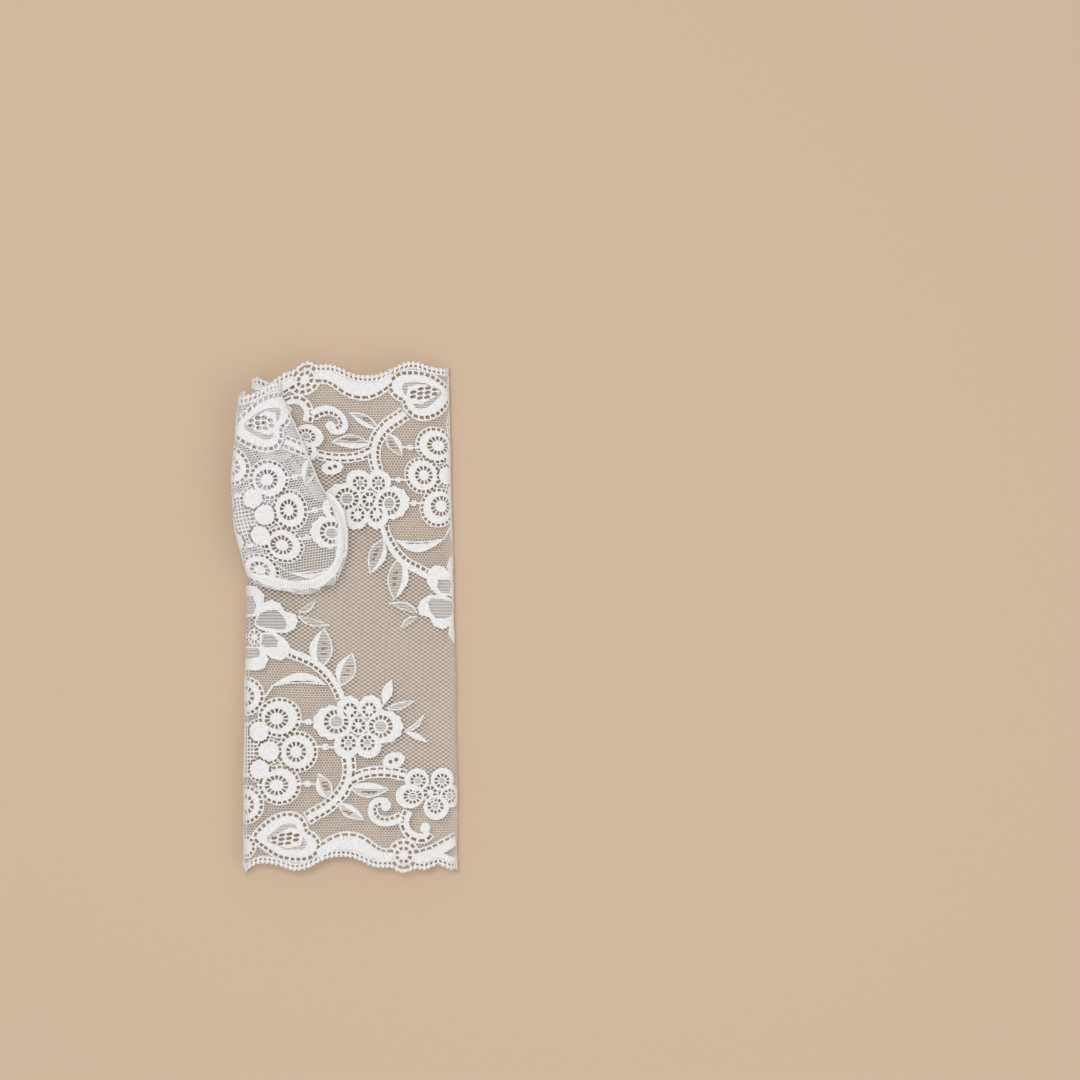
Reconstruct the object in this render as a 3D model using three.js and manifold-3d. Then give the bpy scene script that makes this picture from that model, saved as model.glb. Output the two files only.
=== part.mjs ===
// An evening mitten of white floral lace, open over the fingers, lying on its back as it would on a shelf.
// A strip of lace with two scalloped edges is folded round into a hand tube and closed down the thumb side.
// A lace sleeve for the thumb is sewn round an oval hole in the palm and lies folded up towards the fingers.
// Millimetres. +X is away from the thumb, +Y towards the fingers and +Z up, through the palm.
import * as THREE from "three";
import { mergeVertices } from "three/addons/utils/BufferGeometryUtils.js";
import Module from "manifold-3d";

const wasm = await Module();
wasm.setup();

// Hand tube. Its length runs between the middle lines of the two scalloped edges.
const tubeLength = 207;
const wristWidth = 91.4;
const middleWidth = 88.2;
const fingerWidth = 83.6;
const wristSideHeight = 10.4;
const middleSideHeight = 8.8;
const fingerSideHeight = 9.6;
const crownRise = 2.4;
const clothWall = 1;

// Lace pattern. One repeat runs round the tube, and half of it is mirrored into the other half.
const laceRepeat = 163;
const scallopDepth = 7.1;
const seamFade = 5;
const wristFlowerX = -44.5;
const fingerFlowerX = 47.9;

// The open net between the lace's flowers, cut as coarse diamonds.
const netWide = 10.1;
const netHigh = 6.7;
const netOpenShare = 0.72;
const netMargin = 1;
const edgeMargin = 27;

// Thumb hole, an oval in the palm, and the sleeve over it.
const holeWidth = 40;
const holeLength = 45;
const holeCentreX = -20;
const holeCentreY = 31;
const thumbLength = 83.2;
const thumbWidth = 50.4;
const thumbHeight = 8.4;
const thumbWall = 1;
const thumbEndDip = 4.4;

// Seams and the clearance kept between pieces that are sewn together.
const thumbSeamWidth = 3.2;
const seamThickness = 1.1;
const sideSeamWidth = 4;
const sideSeamInset = 3;
const seamGap = 0.3;

// How finely the cloth is faceted.
const faceColumns = 26;
const sideColumns = 8;
const tubeRows = 8;
const sleeveRows = 16;
const sleeveColumns = 8;
const sleeveBend = 5;
const ovalSides = 32;

// The scalloped edge over half a repeat, from the axis of the large flower.
// along is a share of the half repeat, and out a share of the scallop depth.
const scallop = [
  { along: 0.0, out: 0.94 },
  { along: 0.09, out: 0.45 },
  { along: 0.17, out: 0.65 },
  { along: 0.25, out: 0.9 },
  { along: 0.33, out: 0.78 },
  { along: 0.4, out: 0.27 },
  { along: 0.51, out: 0.0 },
  { along: 0.6, out: 0.24 },
  { along: 0.68, out: 0.62 },
  { along: 0.75, out: 0.7 },
  { along: 0.81, out: 1.0 },
  { along: 0.87, out: 0.75 },
  { along: 0.93, out: 0.7 },
  { along: 1.0, out: 0.35 },
];

// The closed flowers and leaves over half a repeat. The other edge has the same, turned half round.
// along is a share of the half repeat from the large flower's axis, and deep a share of the tube's length from the edge.
// wide and high are radii, as shares of the half repeat.
const motifs = [
  { name: "large flower", along: 0.0, deep: 0.241, wide: 0.31, high: 0.31 },
  { name: "side flower", along: 0.03, deep: 0.47, wide: 0.2, high: 0.2 },
  { name: "stem and leaves", along: 0.387, deep: 0.406, wide: 0.26, high: 0.14 },
  { name: "middle flower", along: 0.586, deep: 0.29, wide: 0.237, high: 0.19 },
  { name: "small leaves", along: 0.82, deep: 0.314, wide: 0.09, high: 0.1 },
  { name: "bud", along: 0.768, deep: 0.221, wide: 0.06, high: 0.06 },
  { name: "small flower", along: 0.953, deep: 0.156, wide: 0.134, high: 0.134 },
  { name: "curls", along: 0.773, deep: 0.112, wide: 0.165, high: 0.1 },
  { name: "lower leaves", along: 0.541, deep: 0.152, wide: 0.26, high: 0.13 },
  { name: "heart", along: 0.224, deep: 0.064, wide: 0.16, high: 0.11 },
];

// The thumb sleeve from its heel to its free end.
// along is a share of its length. left and right are shares of its width from its right side, and high of its height.
const sleeve = [
  { along: 0.0, left: -0.52, right: -0.32, high: 0.36 },
  { along: 0.02, left: -0.7, right: -0.17, high: 0.46 },
  { along: 0.06, left: -0.83, right: -0.1, high: 0.6 },
  { along: 0.12, left: -0.885, right: -0.06, high: 0.76 },
  { along: 0.2, left: -0.925, right: -0.035, high: 0.9 },
  { along: 0.3, left: -0.965, right: -0.03, high: 1.0 },
  { along: 0.42, left: -0.99, right: -0.085, high: 1.0 },
  { along: 0.51, left: -1.0, right: -0.2, high: 0.98 },
  { along: 0.66, left: -0.99, right: -0.32, high: 0.94 },
  { along: 0.82, left: -0.965, right: -0.43, high: 0.9 },
  { along: 0.93, left: -0.945, right: -0.51, high: 0.9 },
  { along: 1.0, left: -0.935, right: -0.56, high: 0.9 },
];

const halfRepeat = laceRepeat / 2;
const halfLength = tubeLength / 2;

// A value along the tube that passes through the three named ones.
function alongTube(wrist, middle, finger, y) {
  const t = y / halfLength;
  return middle + ((finger - wrist) / 2) * t + ((finger + wrist) / 2 - middle) * t * t;
}

// The tube's section at y: flat below, round at both sides and crowned on top.
function sectionAt(y) {
  const side = alongTube(wristSideHeight, middleSideHeight, fingerSideHeight, y);
  const radius = side / 2;
  const flat = alongTube(wristWidth, middleWidth, fingerWidth, y) / 2 - radius;
  return { radius, flat, bend: Math.PI * radius, girth: 4 * flat + 2 * Math.PI * radius };
}

// The height of the palm's outer face, level past its rounded sides.
function palmTop(x, y) {
  const { radius, flat } = sectionAt(y);
  const share = Math.min(1, Math.abs(x) / flat);
  return 2 * radius + crownRise * Math.cos((share * Math.PI) / 2) ** 2;
}

// A point of the tube, from its distance round the section to the right of the palm's middle.
// depth is how far it lies inside the outer face.
function tubePoint(round, y, depth) {
  const { radius, flat, bend, girth } = sectionAt(y);
  const s = THREE.MathUtils.euclideanModulo(round + girth / 4, girth) - girth / 4;
  const onSide = (side, turn) => {
    const arc = radius - depth;
    return new THREE.Vector3(side * (flat + arc * Math.sin(turn)), y, radius + arc * Math.cos(turn));
  };
  if (s < -flat) return onSide(-1, (-flat - s) / radius);
  if (s <= flat) return new THREE.Vector3(s, y, palmTop(s, y) - depth);
  if (s < flat + bend) return onSide(1, (s - flat) / radius);
  if (s <= 3 * flat + bend) return new THREE.Vector3(2 * flat + bend - s, y, depth);
  return onSide(-1, Math.PI - (s - 3 * flat - bend) / radius);
}

// The scallop's reach beyond the edge's middle line, at a distance from the large flower's axis.
function scallopAt(distance) {
  const turn = THREE.MathUtils.euclideanModulo(distance, laceRepeat) / halfRepeat;
  const share = Math.min(turn, 2 - turn);
  const next = Math.max(1, scallop.findIndex((row) => row.along >= share));
  const [a, b] = [scallop[next - 1], scallop[next]];
  const t = (share - a.along) / (b.along - a.along);
  return (a.out + (b.out - a.out) * THREE.MathUtils.smoothstep(t, 0, 1) - 0.5) * scallopDepth;
}

// Both ends of the lace meet at the side seam, so the scallop fades to the middle line there.
function edgeReach(round, axis, girth) {
  const fromSeam = Math.abs(THREE.MathUtils.euclideanModulo(round + (3 * girth) / 4, girth) - girth / 2);
  return scallopAt(round - axis) * THREE.MathUtils.smoothstep(fromSeam, 0, seamFade);
}

function toSolid(geometry) {
  const bare = geometry.clone();
  bare.deleteAttribute("normal");
  bare.deleteAttribute("uv");
  const merged = mergeVertices(bare, 1e-4);
  const mesh = new wasm.Mesh({
    numProp: 3,
    vertProperties: new Float32Array(merged.attributes.position.array),
    triVerts: new Uint32Array(merged.index.array),
  });
  return new wasm.Manifold(mesh);
}

function toGeometry(solid) {
  const mesh = solid.getMesh();
  const positions = new Float32Array(mesh.numVert * 3);
  for (let i = 0; i < mesh.numVert; i++) {
    positions.set(mesh.vertProperties.subarray(i * mesh.numProp, i * mesh.numProp + 3), i * 3);
  }
  const geometry = new THREE.BufferGeometry();
  geometry.setAttribute("position", new THREE.BufferAttribute(positions, 3));
  geometry.setIndex(new THREE.BufferAttribute(new Uint32Array(mesh.triVerts), 1));
  geometry.computeVertexNormals();
  return geometry;
}

// A closed solid through rings of equal length, each clockwise as seen from the first one.
// It is capped at both ends, or joined from the last ring to the first.
function loft(rings, joined) {
  const count = rings[0].length;
  const index = [];
  for (let j = 0; j < (joined ? rings.length : rings.length - 1); j++) {
    const below = j * count;
    const above = ((j + 1) % rings.length) * count;
    for (let i = 0; i < count; i++) {
      const k = (i + 1) % count;
      index.push(below + i, below + k, above + k, below + i, above + k, above + i);
    }
  }
  if (!joined) {
    const cap = (ring, start, order) => {
      const outline = ring.map((point) => new THREE.Vector2(point.x, point.z));
      for (const corners of THREE.ShapeUtils.triangulateShape(outline, [])) {
        index.push(...order.map((corner) => start + corners[corner]));
      }
    };
    cap(rings[0], 0, [0, 1, 2]);
    cap(rings[rings.length - 1], (rings.length - 1) * count, [0, 2, 1]);
  }
  const positions = rings.flat().flatMap((point) => [point.x, point.y, point.z]);
  const geometry = new THREE.BufferGeometry();
  geometry.setAttribute("position", new THREE.Float32BufferAttribute(positions, 3));
  geometry.setIndex(index);
  return toSolid(geometry);
}

// An upright prism with an oval plan, or a diamond one when it has four sides.
function uprightPrism(x, y, radiusX, radiusY, low, high, sides) {
  const geometry = new THREE.CylinderGeometry(1, 1, 1, sides);
  geometry.rotateX(Math.PI / 2);
  geometry.scale(radiusX, radiusY, high - low);
  geometry.translate(x, y, (high + low) / 2);
  return toSolid(geometry);
}

// The tube's columns, as distances round the section that start at the side seam.
function columnsAt(y) {
  const { flat, bend } = sectionAt(y);
  const stretches = [
    { from: -flat - bend / 2, to: -flat, columns: sideColumns / 2 },
    { from: -flat, to: flat, columns: faceColumns },
    { from: flat, to: flat + bend, columns: sideColumns },
    { from: flat + bend, to: 3 * flat + bend, columns: faceColumns },
    { from: 3 * flat + bend, to: 3 * flat + 1.5 * bend, columns: sideColumns / 2 },
  ];
  return stretches.flatMap(({ from, to, columns }) => {
    const count = Math.ceil(columns);
    return Array.from({ length: count }, (_, i) => THREE.MathUtils.lerp(from, to, i / count));
  });
}

function tubeRing(row, depth) {
  const y = THREE.MathUtils.lerp(-halfLength, halfLength, row / tubeRows);
  const { girth } = sectionAt(y);
  return columnsAt(y).map((round) => {
    const wristEnd = -halfLength - edgeReach(round, wristFlowerX, girth);
    const fingerEnd = halfLength + edgeReach(round, fingerFlowerX, girth);
    return tubePoint(round, THREE.MathUtils.lerp(wristEnd, fingerEnd, row / tubeRows), depth);
  });
}

// Whether a diamond of the net at this distance round and y is clear of every flower and leaf.
const gapWide = (netWide / 2) * netOpenShare;
const gapHigh = (netHigh / 2) * netOpenShare;

function clearOfMotifs(round, y) {
  const halves = [
    { distance: round - wristFlowerX, deep: y + halfLength },
    { distance: fingerFlowerX - round, deep: halfLength - y },
  ];
  return halves.every(({ distance, deep }) => {
    const turn = THREE.MathUtils.euclideanModulo(distance, laceRepeat);
    return motifs.every((motif) =>
      [turn, -turn, turn - laceRepeat, laceRepeat - turn].every((along) => {
        const overX = (along - motif.along * halfRepeat) / (motif.wide * halfRepeat + gapWide * 0.7);
        const overY = (deep - motif.deep * tubeLength) / (motif.high * halfRepeat + gapHigh * 0.7);
        return Math.hypot(overX, overY) > 1;
      }),
    );
  });
}

// Whether a plan point is further than a margin outside the oval thumb hole.
function outsideHole(x, y, margin) {
  return Math.hypot((x - holeCentreX) / (holeWidth / 2 + margin), (y - holeCentreY) / (holeLength / 2 + margin)) > 1;
}

const tubeTop = Math.max(wristSideHeight, middleSideHeight, fingerSideHeight) + crownRise;

// The diamonds of the open net in the palm and the back, each staggered row by row.
function netGaps() {
  const gaps = [];
  const rows = Math.floor((halfLength - edgeMargin) / (netHigh / 2));
  for (let row = -rows; row <= rows; row++) {
    const y = (row * netHigh) / 2;
    const { flat, bend } = sectionAt(y);
    const columns = Math.floor((flat - gapWide - netMargin) / (netWide / 2));
    for (let column = -columns; column <= columns; column++) {
      if ((row + column) % 2 !== 0) continue;
      const x = (column * netWide) / 2;
      if (clearOfMotifs(x, y) && outsideHole(x, y, gapWide + netMargin)) {
        gaps.push(uprightPrism(x, y, gapWide, gapHigh, middleSideHeight / 2, tubeTop + 1, 4));
      }
      if (clearOfMotifs(2 * flat + bend - x, y)) {
        gaps.push(uprightPrism(x, y, gapWide, gapHigh, -1, middleSideHeight / 2, 4));
      }
    }
  }
  return gaps;
}

function handTube() {
  const rows = Array.from({ length: tubeRows + 1 }, (_, row) => row);
  const outside = rows.map((row) => tubeRing(row, 0));
  const inside = rows.map((row) => tubeRing(row, clothWall)).reverse();
  const cloth = loft([...outside, ...inside], true);
  const low = middleSideHeight / 2;
  const hole = uprightPrism(holeCentreX, holeCentreY, holeWidth / 2, holeLength / 2, low, tubeTop + 1, ovalSides);
  return cloth.subtract(wasm.Manifold.union([hole, ...netGaps()]));
}

// The sleeve starts on the seam at the hole's heel.
const sleeveStart = holeCentreY - holeLength / 2 + thumbSeamWidth / 2;
const sleeveRight = holeCentreX + holeWidth / 2;

// One ring of the sleeve, a flat loop with round sides that follows the palm under it.
function sleeveRing(row, inset, shift) {
  const left = sleeveRight + row.left * thumbWidth + inset;
  const right = sleeveRight + row.right * thumbWidth - inset;
  const height = row.high * thumbHeight - 2 * inset;
  const radius = Math.min(height, right - left) / 2;
  const y = sleeveStart + row.along * thumbLength + shift;
  const point = (x, up) => {
    const dip = thumbEndDip * row.along ** 4 * (1 - THREE.MathUtils.smoothstep(x, left, left + thumbEndDip * 1.5));
    return new THREE.Vector3(x, y - dip, palmTop(x, y) + seamGap + inset + up);
  };
  const across = (from, to, up) =>
    Array.from({ length: sleeveColumns }, (_, i) => point(THREE.MathUtils.lerp(from, to, i / sleeveColumns), up));
  const bend = (x, side) =>
    Array.from({ length: sleeveBend }, (_, i) => {
      const turn = (Math.PI * i) / sleeveBend;
      return point(x + side * radius * Math.sin(turn), (height / 2) * (1 + side * Math.cos(turn)));
    });
  return [
    ...across(right - radius, left + radius, 0),
    ...bend(left + radius, -1),
    ...across(left + radius, right - radius, height),
    ...bend(right - radius, 1),
  ];
}

function sleeveTable() {
  const curve = (name) => new THREE.CatmullRomCurve3(sleeve.map((row) => new THREE.Vector3(row.along, row[name], 0)));
  const [lefts, rights, highs] = [curve("left"), curve("right"), curve("high")];
  return Array.from({ length: sleeveRows + 1 }, (_, i) => {
    const t = i / sleeveRows;
    const { x: along, y: left } = lefts.getPoint(t);
    return { along, left, right: rights.getPoint(t).y, high: highs.getPoint(t).y };
  });
}

function thumbTube() {
  const rows = sleeveTable();
  const outer = loft(rows.map((row) => sleeveRing(row, 0, 0)), false);
  const heelShift = (row) => thumbWall * (1 - THREE.MathUtils.smoothstep(row.along, 0, 0.3));
  const rings = rows.map((row) => sleeveRing(row, thumbWall, heelShift(row)));
  rings.push(sleeveRing(rows[rows.length - 1], thumbWall, thumbWall));
  const inner = loft(rings, false);
  const edge = seamGap + thumbSeamWidth;
  const low = middleSideHeight / 2;
  const high = middleSideHeight + crownRise + seamGap + thumbWall + seamGap;
  const mouth = uprightPrism(
    holeCentreX,
    holeCentreY,
    holeWidth / 2 - edge,
    holeLength / 2 - edge,
    low,
    high,
    ovalSides,
  );
  return outer.subtract(inner).subtract(mouth);
}

// The seam round the thumb hole, a flat oval band that lies in the hole, level with the palm.
function thumbSeam() {
  const ring = (inset, down) =>
    Array.from({ length: ovalSides }, (_, i) => {
      const turn = (2 * Math.PI * i) / ovalSides;
      const x = holeCentreX + (holeWidth / 2 - inset) * Math.cos(turn);
      const y = holeCentreY + (holeLength / 2 - inset) * Math.sin(turn);
      return new THREE.Vector3(x, y, palmTop(x, y) - down);
    });
  const outside = seamGap;
  const inside = seamGap + thumbSeamWidth;
  return loft([ring(outside, seamThickness), ring(outside, 0), ring(inside, 0), ring(inside, seamThickness)], true);
}

// The seam allowance inside the thumb-side edge, a strip that follows the round of the edge.
function sideSeam() {
  const steps = 6;
  const outer = clothWall + seamGap;
  const rows = Array.from({ length: tubeRows + 1 }, (_, row) => row);
  const rings = rows.map((row) => {
    const end = halfLength - sideSeamInset;
    const y = THREE.MathUtils.lerp(-end, end, row / tubeRows);
    const { radius, flat } = sectionAt(y);
    const spread = sideSeamWidth / (radius - outer);
    const points = [];
    const put = (depth, share) => {
      const turn = Math.PI / 2 + (share - 0.5) * spread;
      const arc = radius - depth;
      points.push(new THREE.Vector3(-flat - arc * Math.sin(turn), y, radius + arc * Math.cos(turn)));
    };
    for (let i = steps; i >= 0; i--) put(outer, i / steps);
    for (let i = 0; i <= steps; i++) put(outer + seamThickness, i / steps);
    return points;
  });
  return loft(rings, false);
}

const lace = new THREE.MeshStandardMaterial({ color: 0xefecea, roughness: 0.75, metalness: 0 });
lace.name = "lace";
const seamThread = new THREE.MeshStandardMaterial({ color: 0xf3f1ee, roughness: 0.7, metalness: 0 });
seamThread.name = "seam_thread";

function named(name, solid, material) {
  const mesh = new THREE.Mesh(toGeometry(solid), material.clone());
  mesh.name = name;
  return mesh;
}

const pieces = [
  named("hand_tube", handTube(), lace),
  named("thumb_tube", thumbTube(), lace),
  named("thumb_seam", thumbSeam(), seamThread),
  named("side_seam", sideSeam(), seamThread),
];

// The origin stands under the middle of the whole.
const whole = new THREE.Box3();
for (const piece of pieces) {
  piece.geometry.computeBoundingBox();
  whole.union(piece.geometry.boundingBox);
}
const middle = whole.getCenter(new THREE.Vector3());
for (const piece of pieces) {
  piece.geometry.translate(-middle.x, -middle.y, -whole.min.z);
}

const mitten = new THREE.Group();
mitten.add(...pieces);

export default mitten;
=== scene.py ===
"""An evening mitten of white floral lace, lying palm up.

The lace is drawn flat in millimetres, as flowers, ribbons, eyelets, sheer fills and nets. It is then laid on
the hand tube and on the thumb sleeve. Cloth work is a thin sheet, and nets, fills and seams are threads.
"""

import math

import bmesh
import bpy
import numpy as np
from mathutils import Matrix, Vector
from mathutils.geometry import delaunay_2d_cdt


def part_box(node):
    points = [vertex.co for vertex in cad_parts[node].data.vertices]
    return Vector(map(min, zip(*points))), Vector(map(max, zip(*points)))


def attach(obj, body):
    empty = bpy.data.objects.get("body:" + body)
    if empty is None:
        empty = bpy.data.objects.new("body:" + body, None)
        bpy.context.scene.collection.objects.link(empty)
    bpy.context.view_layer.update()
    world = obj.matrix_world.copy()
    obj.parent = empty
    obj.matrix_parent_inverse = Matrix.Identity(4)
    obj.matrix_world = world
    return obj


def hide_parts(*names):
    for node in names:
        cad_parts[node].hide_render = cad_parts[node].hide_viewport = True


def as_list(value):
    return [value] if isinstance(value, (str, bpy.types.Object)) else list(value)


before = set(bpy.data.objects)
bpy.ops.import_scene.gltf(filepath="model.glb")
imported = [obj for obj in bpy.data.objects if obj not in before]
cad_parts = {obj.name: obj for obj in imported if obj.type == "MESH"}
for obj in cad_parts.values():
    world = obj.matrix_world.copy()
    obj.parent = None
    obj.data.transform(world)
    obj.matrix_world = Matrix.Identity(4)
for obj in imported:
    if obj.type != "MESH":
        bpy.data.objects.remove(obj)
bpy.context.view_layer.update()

# The hand tube: a strip of stretch lace, folded round and joined inside its thumb-side fold. It lies palm up,
# with two soft folds, and keeps a little hollow. Sizes are in millimetres, the same as the solid's. y runs
# from the middle of its length towards the fingers, and s is the distance round it from the palm's middle.
TUBE_LENGTH = 207.0
HALF = TUBE_LENGTH / 2
WRIST_WIDTH, MIDDLE_WIDTH, FINGER_WIDTH = 91.4, 88.2, 83.6
WRIST_SIDE, MIDDLE_SIDE, FINGER_SIDE = 10.4, 8.8, 9.6
CROWN_RISE = 2.4
CLOTH_WALL = 1.0
# The solid stands over the origin, so the hand tube's middle line is this far to the right of it.
SHIFT_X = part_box("hand_tube")[1][0] * 1000 - WRIST_WIDTH / 2
# The sleeve and the side seam draw the finger edge down towards the thumb side, from these places on.
CORNER_PULL = 6.3
CORNER_X, CORNER_WIDTH = -13, 23
CORNER_Y, CORNER_LENGTH = 66, 38


def section(y):
    """The hand tube's side radius and the half width of its flat part at y."""
    t = y / HALF

    def along(wrist, middle, finger):
        return middle + (finger - wrist) / 2 * t + ((finger + wrist) / 2 - middle) * t * t

    radius = along(WRIST_SIDE, MIDDLE_SIDE, FINGER_SIDE) / 2
    return radius, along(WRIST_WIDTH, MIDDLE_WIDTH, FINGER_WIDTH) / 2 - radius


def girth(y):
    """The whole distance round the tube at y."""
    radius, flat = section(y)
    return 4 * flat + 2 * math.pi * radius


def palm_top(x, y):
    """How high the palm's outer side lies, with its slight crown."""
    radius, flat = section(y)
    share = np.minimum(1, np.abs(x) / flat)
    return 2 * radius + CROWN_RISE * np.cos(share * math.pi / 2) ** 2


def hand_surface(s, y, out):
    """Points of the tube at s and y, a distance out from the middle of its cloth."""
    radius, flat = section(y)
    bend = math.pi * radius
    whole = 4 * flat + 2 * bend
    s = (s + whole / 4) % whole - whole / 4
    ripple = 0.22 * np.sin(s / 7.3 + y / 19) * np.sin(y / 11.7 + 1) + 0.12 * np.sin(s / 3.9 - y / 8.3)
    depth = CLOTH_WALL / 2 - out - ripple
    arc = radius - depth
    turn = np.where(s < -flat, (-flat - s) / radius, math.pi - (s - 3 * flat - bend) / radius)
    turn = np.where((s > flat) & (s < flat + bend), (s - flat) / radius, turn)
    side = np.where((s > flat) & (s < flat + bend), 1.0, -1.0)
    x = side * (flat + arc * np.sin(turn))
    z = radius + arc * np.cos(turn)
    palm = np.abs(s) <= flat
    back = (s >= flat + bend) & (s <= 3 * flat + bend)
    x = np.where(palm, s, np.where(back, 2 * flat + bend - s, x))
    z = np.where(palm, palm_top(s, y) - depth, np.where(back, depth, z))
    near = np.clip((CORNER_X - x) / CORNER_WIDTH, 0, 1)
    high = np.clip((y - CORNER_Y) / CORNER_LENGTH, 0, 1)
    pull = CORNER_PULL * near * near * (3 - 2 * near) * high * high * (3 - 2 * high)
    return np.stack([x, y - pull, z], -1)


# The thumb sleeve: a short open tube of the same lace, sewn to the rim of an oval hole in the palm and folded
# up over it, with a fold at each side. c is the distance round it from its left fold, positive over its top.
HOLE_X, HOLE_Y, HOLE_WIDTH, HOLE_LENGTH = -20.0, 31.0, 40.0, 45.0
THUMB_LENGTH, THUMB_WIDTH, THUMB_HEIGHT, THUMB_WALL = 83.2, 50.4, 8.4, 1.0
SEAM_GAP, THUMB_SEAM_WIDTH, SEAM_THICKNESS = 0.3, 3.2, 1.1
SLEEVE_START = HOLE_Y - HOLE_LENGTH / 2 + THUMB_SEAM_WIDTH / 2
SLEEVE_RIGHT = HOLE_X + HOLE_WIDTH / 2
# From its heel to its free end: the share of its length, and its left and right ends and its height there, as
# shares of its width and height.
SLEEVE = np.array(
    [
        (0.0, -0.52, -0.32, 0.36),
        (0.02, -0.7, -0.17, 0.46),
        (0.06, -0.83, -0.1, 0.6),
        (0.12, -0.885, -0.06, 0.76),
        (0.2, -0.925, -0.035, 0.9),
        (0.3, -0.965, -0.03, 1.0),
        (0.42, -0.99, -0.085, 1.0),
        (0.51, -1.0, -0.2, 0.98),
        (0.66, -0.99, -0.32, 0.94),
        (0.82, -0.965, -0.43, 0.9),
        (0.93, -0.945, -0.51, 0.9),
        (1.0, -0.935, -0.56, 0.9),
    ]
)


def cubic(x, xs, ys):
    """A smooth curve through the points (xs, ys), level past both ends."""
    slopes = np.gradient(ys, xs)
    x = np.clip(x, xs[0], xs[-1])
    i = np.clip(np.searchsorted(xs, x) - 1, 0, len(xs) - 2)
    h = xs[i + 1] - xs[i]
    t = (x - xs[i]) / h
    a, b = ys[i], ys[i + 1]
    ma, mb = slopes[i] * h, slopes[i + 1] * h
    return a + t * ma + t * t * (3 * (b - a) - 2 * ma - mb) + t**3 * (2 * (a - b) + ma + mb)


def sleeve_section(y):
    """The sleeve's left and right ends and its side radius at y, all of the middle of its cloth."""
    share = (y - SLEEVE_START) / THUMB_LENGTH
    left, right, high = (cubic(share, SLEEVE[:, 0], SLEEVE[:, i]) for i in (1, 2, 3))
    radius = (high * THUMB_HEIGHT - THUMB_WALL) / 2
    left = SLEEVE_RIGHT + left * THUMB_WIDTH + THUMB_WALL / 2
    right = SLEEVE_RIGHT + right * THUMB_WIDTH - THUMB_WALL / 2
    return left, right, np.minimum(radius, (right - left) / 2)


def sleeve_reach(y):
    """The distance round the sleeve from its left fold to its right one."""
    left, right, radius = sleeve_section(y)
    return right - left - 2 * radius + math.pi * radius


def sleeve_surface(c, y, out):
    """Points of the sleeve at c and y, a distance out from the middle of its cloth."""
    left, right, radius = sleeve_section(y)
    quarter = math.pi * radius / 2
    level = right - left - 2 * radius
    far = np.abs(c)
    up = np.where(c < 0, -1.0, 1.0)
    ripple = 0.3 * np.sin(c / 5.1 + y / 9.7) * np.sin(y / 6.3 + c / 11)
    arc = radius + out + ripple
    first = np.clip(far / radius, 0, math.pi / 2)
    last = np.clip((far - quarter - level) / radius, 0, math.pi / 2)
    on_last = far > quarter + level
    x = np.where(far < quarter, left + radius - arc * np.cos(first), left + radius + far - quarter)
    x = np.where(on_last, right - radius + arc * np.sin(last), x)
    rise = np.where(far < quarter, arc * np.sin(first), arc)
    rise = np.where(on_last, arc * np.cos(last), rise)
    middle = THUMB_WALL / 2 + SEAM_GAP + radius
    return np.stack([x, y, palm_top(x, y) + middle + up * rise], -1)


# The lace, drawn flat: machine-made galloon lace of white nylon, with a scalloped edge. Only one side of the
# large flower's axis is drawn, as its pattern is the same on both sides, mirrored. Places are (along, deep):
# along the edge from that axis, and how deep from the edge.
REPEAT = 163.0
HALF_REPEAT = REPEAT / 2
LARGE_FLOWER_DEEP = 47.3


def smooth(points, step=1.4, closed=False):
    """A curve through the points, as evenly spaced points about step apart."""
    points = np.array(points, float)
    if closed:
        points = np.vstack([points, points[:1]])
    gaps = np.r_[0, np.cumsum(np.linalg.norm(np.diff(points, axis=0), axis=1))]
    count = max(2, round(gaps[-1] / step))
    at = np.linspace(0, gaps[-1], count + 1)
    if closed:
        wide_gaps = np.r_[gaps[-2] - gaps[-1], gaps, gaps[-1] + gaps[1]]
        wide = np.vstack([points[-2], points, points[1]])
        return np.stack([cubic(at, wide_gaps, wide[:, i]) for i in (0, 1)], -1)[:-1]
    return np.stack([cubic(at, gaps, points[:, i]) for i in (0, 1)], -1)


def across(path, closed=False):
    """The unit vector to the left of the path at each of its points."""
    if closed:
        run = np.roll(path, -1, 0) - np.roll(path, 1, 0)
    else:
        run = np.gradient(path, axis=0)
    run /= np.maximum(np.linalg.norm(run, axis=1, keepdims=True), 1e-9)
    return np.stack([-run[:, 1], run[:, 0]], -1)


def oval(x, y, wide, high=None, turn=0.0, count=None, knobs=0):
    """An oval, with a wavy outline where knobs gives the number of its waves."""
    high = wide if high is None else high
    count = count or max(12, round(3.2 * math.sqrt(wide + high)) * 2, knobs * 4)
    t = np.arange(count) * 2 * math.pi / count
    swell = 1 + 0.05 * np.cos(knobs * t) if knobs else 1
    u, v = wide * np.cos(t) * swell, high * np.sin(t) * swell
    c, s = math.cos(math.radians(turn)), math.sin(math.radians(turn))
    return np.stack([x + u * c - v * s, y + u * s + v * c], -1)


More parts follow.
